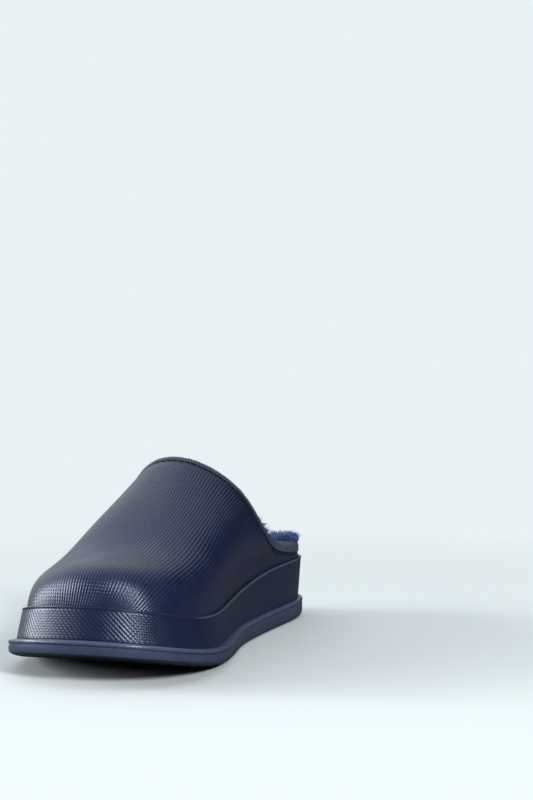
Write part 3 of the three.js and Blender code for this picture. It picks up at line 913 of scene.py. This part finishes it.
def tread_loops():
    """Outlines of the grooves: chevrons across the forefoot and the heel, clear of the edge."""
    def corners(side, near, far, y):
        loop = [(side * x, y + TREAD_SLOPE * x + half * TREAD_GROOVE)
                for x, half in ((near, -0.5), (far, -0.5), (far, 0.5), (near, 0.5))]
        return np.array(loop if side > 0 else loop[::-1])

    def clear(loop):
        away = np.linalg.norm(FOOTPRINT[None, :, :2] - loop[:, None], axis=2)
        return loop[:, 1].min() > TOE_Y + TREAD_MARGIN and away.min() >= TREAD_MARGIN

    for start, stop in TREAD_STRETCHES:
        for y in np.arange(start, stop + 1, TREAD_PITCH):
            for side in (-1, 1):
                edge = FOOTPRINT[FOOTPRINT[:, 0] * side > 0]
                reach = np.abs(edge[np.argmin(np.abs(edge[:, 1] - y)), 0])
                for near, far, shift in TREAD_BARS:
                    far = min(far, reach)
                    while far > near + 3 and not clear(corners(side, near, far, y + shift)):
                        far -= 0.5
                    if far > near + 3:
                        yield corners(side, near, far, y + shift)


def tread_cutters():
    """Prisms that cut the grooves."""
    body = Body()
    for loop in tread_loops():
        level = bottom(from_toe(loop[:, 1]))
        low = body.add(np.column_stack([loop, level - 6]))
        high = body.add(np.column_stack([loop, level + TREAD_DEPTH]))
        body.strip(low, high)
        body.caps(low, high)
    return body.make("tread_cutters", SOLE_SKIN)


def outsole_piece():
    """The outsole with its tread cut."""
    sole = sole_blank()
    cutters = tread_cutters()
    cut = sole.modifiers.new("tread", "BOOLEAN")
    cut.operation = "DIFFERENCE"
    cut.solver = "EXACT"
    cut.object = cutters
    bpy.context.view_layer.update()
    graph = bpy.context.evaluated_depsgraph_get()
    mesh = bpy.data.meshes.new_from_object(sole.evaluated_get(graph))
    sole.modifiers.clear()
    sole.data = mesh
    mesh.set_sharp_from_angle(angle=math.radians(35))
    bpy.data.objects.remove(cutters)
    return sole


# ---- binding and stitching
RIM_U = np.linspace(0, 1, 1201)
RIM_ARC = arc(top_edge(RIM_U))
RIM_TOTAL = RIM_ARC[-1]


def rim_at(distance):
    """u at distances along the rim."""
    return np.interp(np.mod(distance, RIM_TOTAL), RIM_ARC, RIM_U)


def binding_piece():
    """The ribbed binding, folded over the top edge of the shell and the linings."""
    per_rib = 6
    n = int(round(RIM_TOTAL / BINDING_PITCH)) * per_rib
    distance = np.arange(n) * RIM_TOTAL / n
    u = rim_at(distance)
    h = binding_height(u)
    rib = 0.5 + 0.5 * np.cos(2 * np.pi * np.arange(n) / per_rib)
    wobble = 0.12 * lattice_noise(top_edge(u), 4.0, 7)
    inner = INNER_FACE + 0.4
    # depth, height above the lower edge, and how much the ribs show
    outline = [
        (-0.05, 0.05, 0), (-0.25, 0.3, 0.5), (-0.32, 0.8, 1), (-0.32, h * 0.35, 1),
        (-0.32, h * 0.55, 1), (-0.30, h - 1.1, 1), (-0.1, h - 0.55, 1), (0.35, h - 0.15, 1),
        (1.1, h, 0.9), (2.6, h + 0.05, 0.7), (4.6, h + 0.05, 0.7), (6.2, h, 0.8),
        (inner + 0.6, h - 0.2, 0.9), (inner + 1.0, h - 0.7, 0.6), (inner + BINDING_SKIN, h - 1.4, 0.3),
        (inner + BINDING_SKIN, h * 0.3, 0), (inner + BINDING_SKIN, 0.1, 0), (inner, 0.1, 0),
        (inner, h - 1.5, 0), (BINDING_SKIN - 0.2, h - 1.5, 0), (BINDING_SKIN - 0.2, 0.1, 0)]
    body = Body()
    table = []
    for depth, level, ribbed in outline:
        push = BINDING_RIB * (rib - 0.5) * ribbed + wobble * ribbed
        if depth < 0.3:
            points = collar(u, depth - push, level)
        else:
            points = collar(u, depth, level + push * 0.8)
        # painted light: rib crests get a lighter tone (painted highlight), the grooves and the faces
        # turned inwards a dark tone (painted shade)
        table.append(body.add(points, 0.1 + 0.8 * rib * ribbed))
    table.append(table[0])
    body.grid(table)
    return body.make("collar_edge", RIBBED_SKIN)


def stitching_piece():
    """Stitches in the groove under the binding; each dives into the shell at both ends."""
    count = int(round(RIM_TOTAL / STITCH_PITCH))
    pitch = RIM_TOTAL / count
    share = np.linspace(0, 1, 9)
    depth = 0.35 + 0.85 * np.abs(2 * share - 1) ** 3
    radius = STITCH_RADIUS * np.sqrt(np.clip(1 - (2 * share - 1) ** 4, 0.05, 1))
    turn = 2 * np.pi * np.arange(8) / 8
    body = Body()
    for k in range(count):
        table = []
        for j, u in enumerate(rim_at(k * pitch + share * (pitch * STITCH_SHARE))):
            across = radius[j] * np.cos(turn + 0.5 * j)
            up = radius[j] * np.sin(turn + 0.5 * j)
            ring = collar(np.full(len(turn), u), depth[j] + across, up - STITCH_DROP)
            table.append(body.add(ring, 0.3 + 0.5 * (j % 2)))
        body.grid(table)
        body.caps(table[0], table[-1])
    return body.make("collar_stitches", THREAD_SKIN)


# ---- fleece
def lining_piece(name, start, stop):
    """One lining: a closed sheet between the shell and the foot, lumpy on the inside."""
    span_u = (stop - start) % 1.0
    u = start + np.linspace(0, 1, int(round(span_u * LINING_COLUMNS))) * span_u
    top = below(u, LINING_TOP)
    steps = 46
    body = Body()
    table = []
    for depth, order in ((OUTER_FACE, range(steps)), (INNER_FACE, reversed(range(steps)))):
        inside = depth == INNER_FACE
        foot = curve(row(lambda s: skirt_inset(s) + depth, lambda s: board_top(s) + GAP), u)
        rows = []
        for k in order:
            points = layer(u, top * k / (steps - 1), depth)
            if inside:
                points = layer(u, top * k / (steps - 1), depth + lumps(points, 3.5, 1.8, 11))
            rows.append(points)
        rows.insert(len(rows) if inside else 0, foot)
        # painted shade: the face against the shell gets a darker tone than the face inside
        table += [body.add(points, 0.3 if inside else 0.1) for points in rows]
    loops = np.stack(table)
    body.grid([*table, table[0]], closed=False)
    for end, flip in ((loops[:, 0], False), (loops[:, -1], True)):
        half = len(end) // 2
        one, two = end[:half], end[half:][::-1]
        if flip:
            one, two = two, one
        body.strip(one, two, closed=False)
    return body.make(name, BACKING)


def footbed_cupping(s, share):
    """How far the footbed dips below its edge, at a share of its width."""
    return -CUPPING * smooth(60, 190, s) * np.sin(np.pi * share) ** 0.7


def footbed_edge(s):
    return footbed_top(s) + CUPPING * smooth(60, 190, s) + GAP


def footbed_inset(s):
    return skirt_inset(s) + INNER_FACE + FOOTBED_GAP


def footbed_cover():
    u = stations(2.0, 2.0, -40)
    body = Body()
    # painted shade: the cover's lower edge and underside get a darker tone than its top
    lower = body.ring(u, footbed_inset, footbed_edge, 0.1)
    upper = body.ring(u, footbed_inset, lambda s: footbed_edge(s) + COVER, 0.3)
    body.strip(lower, upper)
    body.lid(lower, False, 8, footbed_cupping)

    def lumpy(s, share):
        spot = np.stack([share * 70, s, 0 * s], -1)
        return footbed_cupping(s, share) + lumps(spot, 4.0, 2.0, 21)

    body.lid(upper, True, 40, lumpy)
    return body.make("footbed_cover", BACKING)


STRAND_CORNERS = (0, 2.094, 4.189)  # strands are three-sided


def pile(name, roots, normals, heads, lengths, seed,
         strands=8, base=0.55, tip=0.4, width=0.17, curl=0.35):
    """Tufts of tapered strands: heads are the directions the tufts lean in."""
    rng = np.random.default_rng(seed)
    n = len(roots) * strands
    root, normal = np.repeat(roots, strands, 0), np.repeat(normals, strands, 0)
    head, length = np.repeat(heads, strands, 0), np.repeat(lengths, strands)
    side = unit(np.cross(normal, rng.normal(size=(n, 3))))
    other = unit(np.cross(normal, side))
    root = root + side * (base * np.sqrt(rng.random(n)))[:, None]
    length = length * rng.uniform(0.65, 1.1, n)
    splay = rng.normal(size=(n, 3)) * tip
    wave = rng.uniform(-1, 1, (n, 2)) * curl
    levels = np.array([0.0, 0.38, 0.72, 1.0])
    centres = []
    for level in levels:
        swing = wave * (np.sin(level * 4.2 + wave[:, 0] * 3) * level * 1.6)[:, None]
        centres.append(root + head * (length * level)[:, None] + splay * level**1.4
                       + side * swing[:, :1] + other * swing[:, 1:])
    tone = rng.uniform(-0.12, 0.12, len(roots)).repeat(strands)
    body = Body()
    rings = []
    axis = unit(centres[-1] - centres[0])
    across = unit(np.cross(axis, side))
    third = np.cross(axis, across)
    # painted light: the tone rises up each strand, painted shade at the root and painted light at the
    # tip; tone adds a random shift per tuft
    for level, centre in zip(levels[:-1], centres):
        radius = width * (1 - 0.55 * level)
        ring = [body.add(centre + (across * math.cos(a) + third * math.sin(a)) * radius,
                         np.clip(0.12 + 0.8 * level + tone, 0, 1)) for a in STRAND_CORNERS]
        rings.append(ring)
    point = body.add(centres[-1], np.clip(0.95 + tone, 0, 1))
    for one, two in zip(rings[:-1], rings[1:]):
        for k in range(3):
            j = (k + 1) % 3
            body.quads.append(np.stack([one[k], one[j], two[j], two[k]], 1))
    last = rings[-1]
    tris = [np.stack([last[k], last[(k + 1) % 3], point], 1) for k in range(3)]
    tris.append(np.stack([rings[0][2], rings[0][1], rings[0][0]], 1))
    body.others += np.concatenate(tris).tolist()
    return body.make(name, PILE)


def scatter(place, u_range, v_range, density, count, rng, shape=(240, 60)):
    """Random (u, v), even over the surface that place(u, v) gives, times density."""
    u = np.linspace(*u_range, shape[0] + 1)
    v = np.linspace(*v_range, shape[1] + 1)
    grid = place(*np.meshgrid(u, v, indexing="ij"))
    corner = grid[:-1, :-1]
    area = np.linalg.norm(np.cross(grid[1:, :-1] - corner, grid[:-1, 1:] - corner), axis=-1)
    weight = (area * density(corner)).ravel()
    picked = rng.choice(len(weight), count, p=weight / weight.sum())
    i, j = np.divmod(picked, shape[1])
    return u[i] + rng.random(count) * (u[1] - u[0]), v[j] + rng.random(count) * (v[1] - v[0])


def wall_pile(name, start, stop, density, count, seed):
    """Tufts on one lining, pointing inwards."""
    rng = np.random.default_rng(seed)
    stop = start + (stop - start) % 1.0

    def place(u, v):
        return layer(u, v * below(u, WALL_TOP), INNER_FACE)

    u, t = scatter(place, (start, stop), (0.02, 1.0), density, count, rng)
    v = t * below(u, WALL_TOP)
    roots = layer(u, v, INNER_FACE - 0.3)
    out = unit(surface(DIRECTIONS, u, v))
    clump = lattice_noise(roots, 5.0, seed + 1)
    heads = unit(-out + rng.normal(size=(count, 3)) * 0.32 + 0.5 * sway(roots, 9.0, seed))
    lengths = 4.3 + 1.1 * clump + rng.uniform(-0.5, 0.5, count)
    return pile(name, roots, -out, heads, lengths, seed + 9)


def rim_pile(names, count, seed):
    """Tufts inside the binding and, round the heel, over its top edge, as one piece a side."""
    rng = np.random.default_rng(seed)
    u = rim_at(rng.random(count) * RIM_TOTAL)
    rim = top_edge(u)
    x, y = rim[:, 0], rim[:, 1]
    back = smooth(84, 116, y)
    heel = np.maximum(smooth(6, 44, y), 0.9 * smooth(-8, 18, y) * (x > 0))
    inner = smooth(20, 38, y) * (1 - smooth(62, 80, y)) * (x > 0)
    instep = smooth(0, 8, x) * (1 - smooth(6, 16, y))
    keep = rng.random(count) < 0.14 + 0.46 * heel + 0.4 * np.maximum(back, inner) + 0.5 * instep
    u, rim, heel, back, inner, instep = (each[keep] for each in (u, rim, heel, back, inner, instep))
    count = len(u)
    h = binding_height(u)
    out = unit(surface(DIRECTIONS, u, np.ones(count)))
    up = unit(rim - collar(u, 0.0, h - 4.0))
    over = rng.random(count) ** 0.8 * np.maximum.reduce([back, 0.7 * inner, 0.8 * instep])
    level = rng.uniform(-4.0, 0.6, count) + h * np.maximum(heel, instep)
    level = np.where(over > 0.2, h - 0.3, np.minimum(level, h - 0.6))
    roots = collar(u, 7.9 - 6.6 * np.where(over > 0.2, over, 0), level)
    clump = lattice_noise(rim, 4.5, seed + 1) + 0.5 * lattice_noise(rim, 2.2, seed + 5)
    rise = 0.4 + 3.9 * heel + 2.4 * inner + 1.2 * instep + (0.7 + 1.7 * heel) * clump
    lengths = np.clip((h - level) * 1.05 + rise, 1.6, 15.0) * rng.uniform(0.85, 1.2, count)
    lean = 0.25 - 0.25 * inner + (0.75 - 1.1 * np.maximum(back, inner)) * rng.random(count) * heel
    scattered = rng.normal(size=(count, 3)) * 0.14
    heads = unit(up - out * lean[:, None] + scattered + 0.3 * sway(rim, 6.0, seed))
    first = u < np.median(u)
    return [pile(name, roots[side], -out[side], heads[side], lengths[side], seed + 9 + k,
                 strands=7, base=0.7, tip=0.6, width=0.22, curl=0.5)
            for k, (name, side) in enumerate(zip(names, (first, ~first)))]


def footbed_pile(count, seed):
    """Tufts on the footbed's cover, fewer towards the toe where nothing shows."""
    rng = np.random.default_rng(seed)
    ring = curve(row(footbed_inset, 0), np.linspace(0, 1, 2000, endpoint=False))
    ring = np.roll(ring, -np.argmin(ring[:, 1]), 0)
    heel = np.argmax(ring[:, 1])
    y = rng.uniform(ring[:, 1].min() + 1, ring[:, 1].max() - 1, count * 2)
    start = np.interp(y, ring[:heel, 1], ring[:heel, 0])
    width = np.interp(y, ring[heel:, 1][::-1], ring[heel:, 0][::-1]) - start
    share = rng.random(count * 2)
    keep = rng.random(count * 2) < np.abs(width) / 100 * (0.2 + 0.8 * smooth(-60, 0, y))
    y, start, width, share = y[keep], start[keep], width[keep], share[keep]
    s = y - TOE_Y
    z = footbed_edge(s) + 1.8 + footbed_cupping(s, share)
    roots = np.stack([start + width * share, y, z], 1)
    up = np.broadcast_to(np.array([0.0, 0.0, 1.0]), roots.shape)
    lean = [lattice_noise(roots, 8.0, seed + 1), lattice_noise(roots, 8.0, seed + 2), 0 * y]
    heads = unit(up + rng.normal(size=roots.shape) * (0.3, 0.3, 0.05) + 0.7 * np.stack(lean, -1))
    lengths = 4.2 + 1.2 * lattice_noise(roots, 5.0, seed + 3) + rng.uniform(-0.5, 0.5, len(y))
    return pile("footbed_pile", roots, up, heads, lengths, seed + 9)


# ---- the pieces
upper = upper_piece()
cup = cup_piece()
sole = outsole_piece()
binding = binding_piece()
stitches = stitching_piece()
vamp_lining = lining_piece("vamp_lining_cloth", LINING_SPLIT_INNER + LINING_SEAM,
                           LINING_SPLIT_OUTER - LINING_SEAM)
quarter_lining = lining_piece("quarter_lining_cloth", LINING_SPLIT_OUTER + LINING_SEAM,
                              LINING_SPLIT_INNER - LINING_SEAM)
cover = footbed_cover()
vamp_pile = wall_pile("vamp_pile", LINING_SPLIT_INNER, LINING_SPLIT_OUTER,
                      lambda p: 0.1 + smooth(-75, 0, p[..., 1]), count=1500, seed=100)
quarter_pile = wall_pile("quarter_pile", LINING_SPLIT_OUTER, LINING_SPLIT_INNER,
                         lambda p: np.ones(p.shape[:-1]), count=1400, seed=200)
inner_pile, outer_pile = rim_pile(("collar_pile_inner", "collar_pile_outer"), count=4900, seed=300)
sole_pile = footbed_pile(count=1500, seed=400)
for piece, solid, slot in (
        (upper, "upper_shell", "upper"), (cup, "midsole_cup", "midsole"),
        (sole, "outsole", "outsole"), (binding, "collar_binding", "binding"),
        (stitches, "collar_stitching", "thread"), (vamp_lining, "vamp_lining", "fleece"),
        (quarter_lining, "quarter_lining", "fleece"), (cover, "footbed_fleece", "fleece")):
    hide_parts(solid)
    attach(piece, "root")
for piece in (vamp_pile, quarter_pile, inner_pile, outer_pile, sole_pile):
    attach(piece, "root")
for piece, flat, area, under, piles in (
        (vamp_lining, (0.366, 0.151), 0.0236, upper, [vamp_pile]),
        (quarter_lining, (0.250, 0.062), 0.0057, upper, [quarter_pile, inner_pile, outer_pile]),
        (cover, (0.0785, 0.2553), 0.01486, "footbed", [sole_pile])):
    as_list(piles)

# ---- studio
# direction, strength, and the cosines where it starts and is full
SCREENS = (((-0.94, 0.34, 0.0), 0.8, 0.3, 0.9), ((-0.2, 0.3, 0.93), 0.75, 0.45, 0.95))
SCREEN_COLOUR = (0.93, 0.98, 1.0)
# name, place, size in metres and power in watts
LAMPS = (("left_front", (-2.4, -1.5, 0.9), 1.0, 20), ("left_side", (-2.8, -0.4, 0.7), 1.0, 56),
         ("key", (1.43, -1.54, 1.0), 0.42, 46))
LAMP_TARGET = Vector((0, -0.1, 0.04))
BACKDROP = (0.807, 0.880, 0.905)
FLOOR_BOUNCE = (0.12, 0.12, 0.13)  # what the floor gives back to the clog
FLOOR_RADIUS = 30.0
FLOOR_FADE = (0.2, 0.62)  # metres from the origin over which the floor turns into the backdrop
CAMERA_PLACE = (0.3554, -0.9177, 0.1505)
CAMERA_HEADING = (-0.3146, 0.9492)
CAMERA_TILT = 0.0244  # radians below level


def surroundings():
    """A plain backdrop; the screens that light the clog are out of sight."""
    world = bpy.data.worlds.new("studio")
    bpy.context.scene.world = world
    world.use_nodes = True
    tree = world.node_tree
    seen = tree.nodes["Background"]
    seen.inputs["Color"].default_value = (*BACKDROP, 1)
    lit = node(tree, "ShaderNodeBackground", _Color=(*SCREEN_COLOUR, 1))
    direction = node(tree, "ShaderNodeTexCoord").outputs["Generated"]

    def towards(vector, high, start, end):
        dot = node(tree, "ShaderNodeVectorMath", operation="DOT_PRODUCT")
        dot.inputs[1].default_value = vector
        tree.links.new(direction, dot.inputs[0])
        return span(tree, dot.outputs["Value"], 0.0, high, start, end, "SMOOTHSTEP")

    total = math_node(tree, "ADD", *(towards(*screen) for screen in SCREENS))
    tree.links.new(total, lit.inputs["Strength"])
    direct = node(tree, "ShaderNodeLightPath").outputs["Is Camera Ray"]
    chosen = mix_shaders(tree, direct, lit.outputs["Background"], seen.outputs["Background"])
    tree.links.new(chosen, tree.nodes["World Output"].inputs["Surface"])


def floor():
    """Pale paper on the ground, which turns into the backdrop further away."""
    m, tree, shader = material("floor_paper", (0.6, 0.63, 0.64), 1.0, Specular_IOR_Level=0.0)
    place = coords(tree)
    paper = ramp(tree, noise(tree, place, 3, 2),
                 [(0.3, (0.80, 0.865, 0.885)), (0.7, (0.81, 0.875, 0.895))])
    direct = node(tree, "ShaderNodeLightPath").outputs["Is Camera Ray"]
    tree.links.new(mix(tree, direct, FLOOR_BOUNCE, paper), shader.inputs["Base Color"])
    far = node(tree, "ShaderNodeVectorMath", operation="LENGTH")
    tree.links.new(place, far.inputs[0])
    fade = span(tree, far.outputs["Value"], 0.0, 1.0, *FLOOR_FADE)
    glow = node(tree, "ShaderNodeEmission", _Color=(*BACKDROP, 1))
    faded = mix_shaders(tree, math_node(tree, "MULTIPLY", fade, direct),
                        shader.outputs["BSDF"], glow.outputs["Emission"])
    tree.links.new(faded, tree.nodes["Material Output"].inputs["Surface"])
    mesh = bpy.data.meshes.new("floor")
    bm = bmesh.new()
    bmesh.ops.create_circle(bm, cap_ends=True, radius=FLOOR_RADIUS, segments=96)
    bm.to_mesh(mesh)
    bm.free()
    mesh.materials.append(m)
    in_scene("floor", mesh)


def aim(thing, place, gaze):
    """Puts a lamp or the camera in its place and turns it along its gaze."""
    thing.location = place
    thing.rotation_mode = "QUATERNION"
    thing.rotation_quaternion = Vector(gaze).to_track_quat("-Z", "Y")


def lamps():
    for name, place, size, power in LAMPS:
        data = bpy.data.lights.new(name, "AREA")
        data.size = size
        data.energy = power
        aim(in_scene(name, data), place, LAMP_TARGET - Vector(place))


def camera():
    data = bpy.data.cameras.new("camera")
    data.sensor_fit = "VERTICAL"
    data.sensor_width = 24.0
    data.sensor_height = 36.0
    data.lens = 85.0
    data.clip_start = 0.05
    data.clip_end = 40
    made = in_scene("camera", data)
    level = math.cos(CAMERA_TILT)
    aim(made, CAMERA_PLACE, (*(part * level for part in CAMERA_HEADING), -math.sin(CAMERA_TILT)))
    bpy.context.scene.camera = made


surroundings()
floor()
lamps()
camera()
bpy.context.scene.view_settings.view_transform = "Standard"
bpy.context.scene.view_settings.look = "None"

for name, skin in (("insole_board", BOARD_SKIN), ("footbed", FOAM_SKIN)):
    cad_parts[name].material_slots[0].material = skin
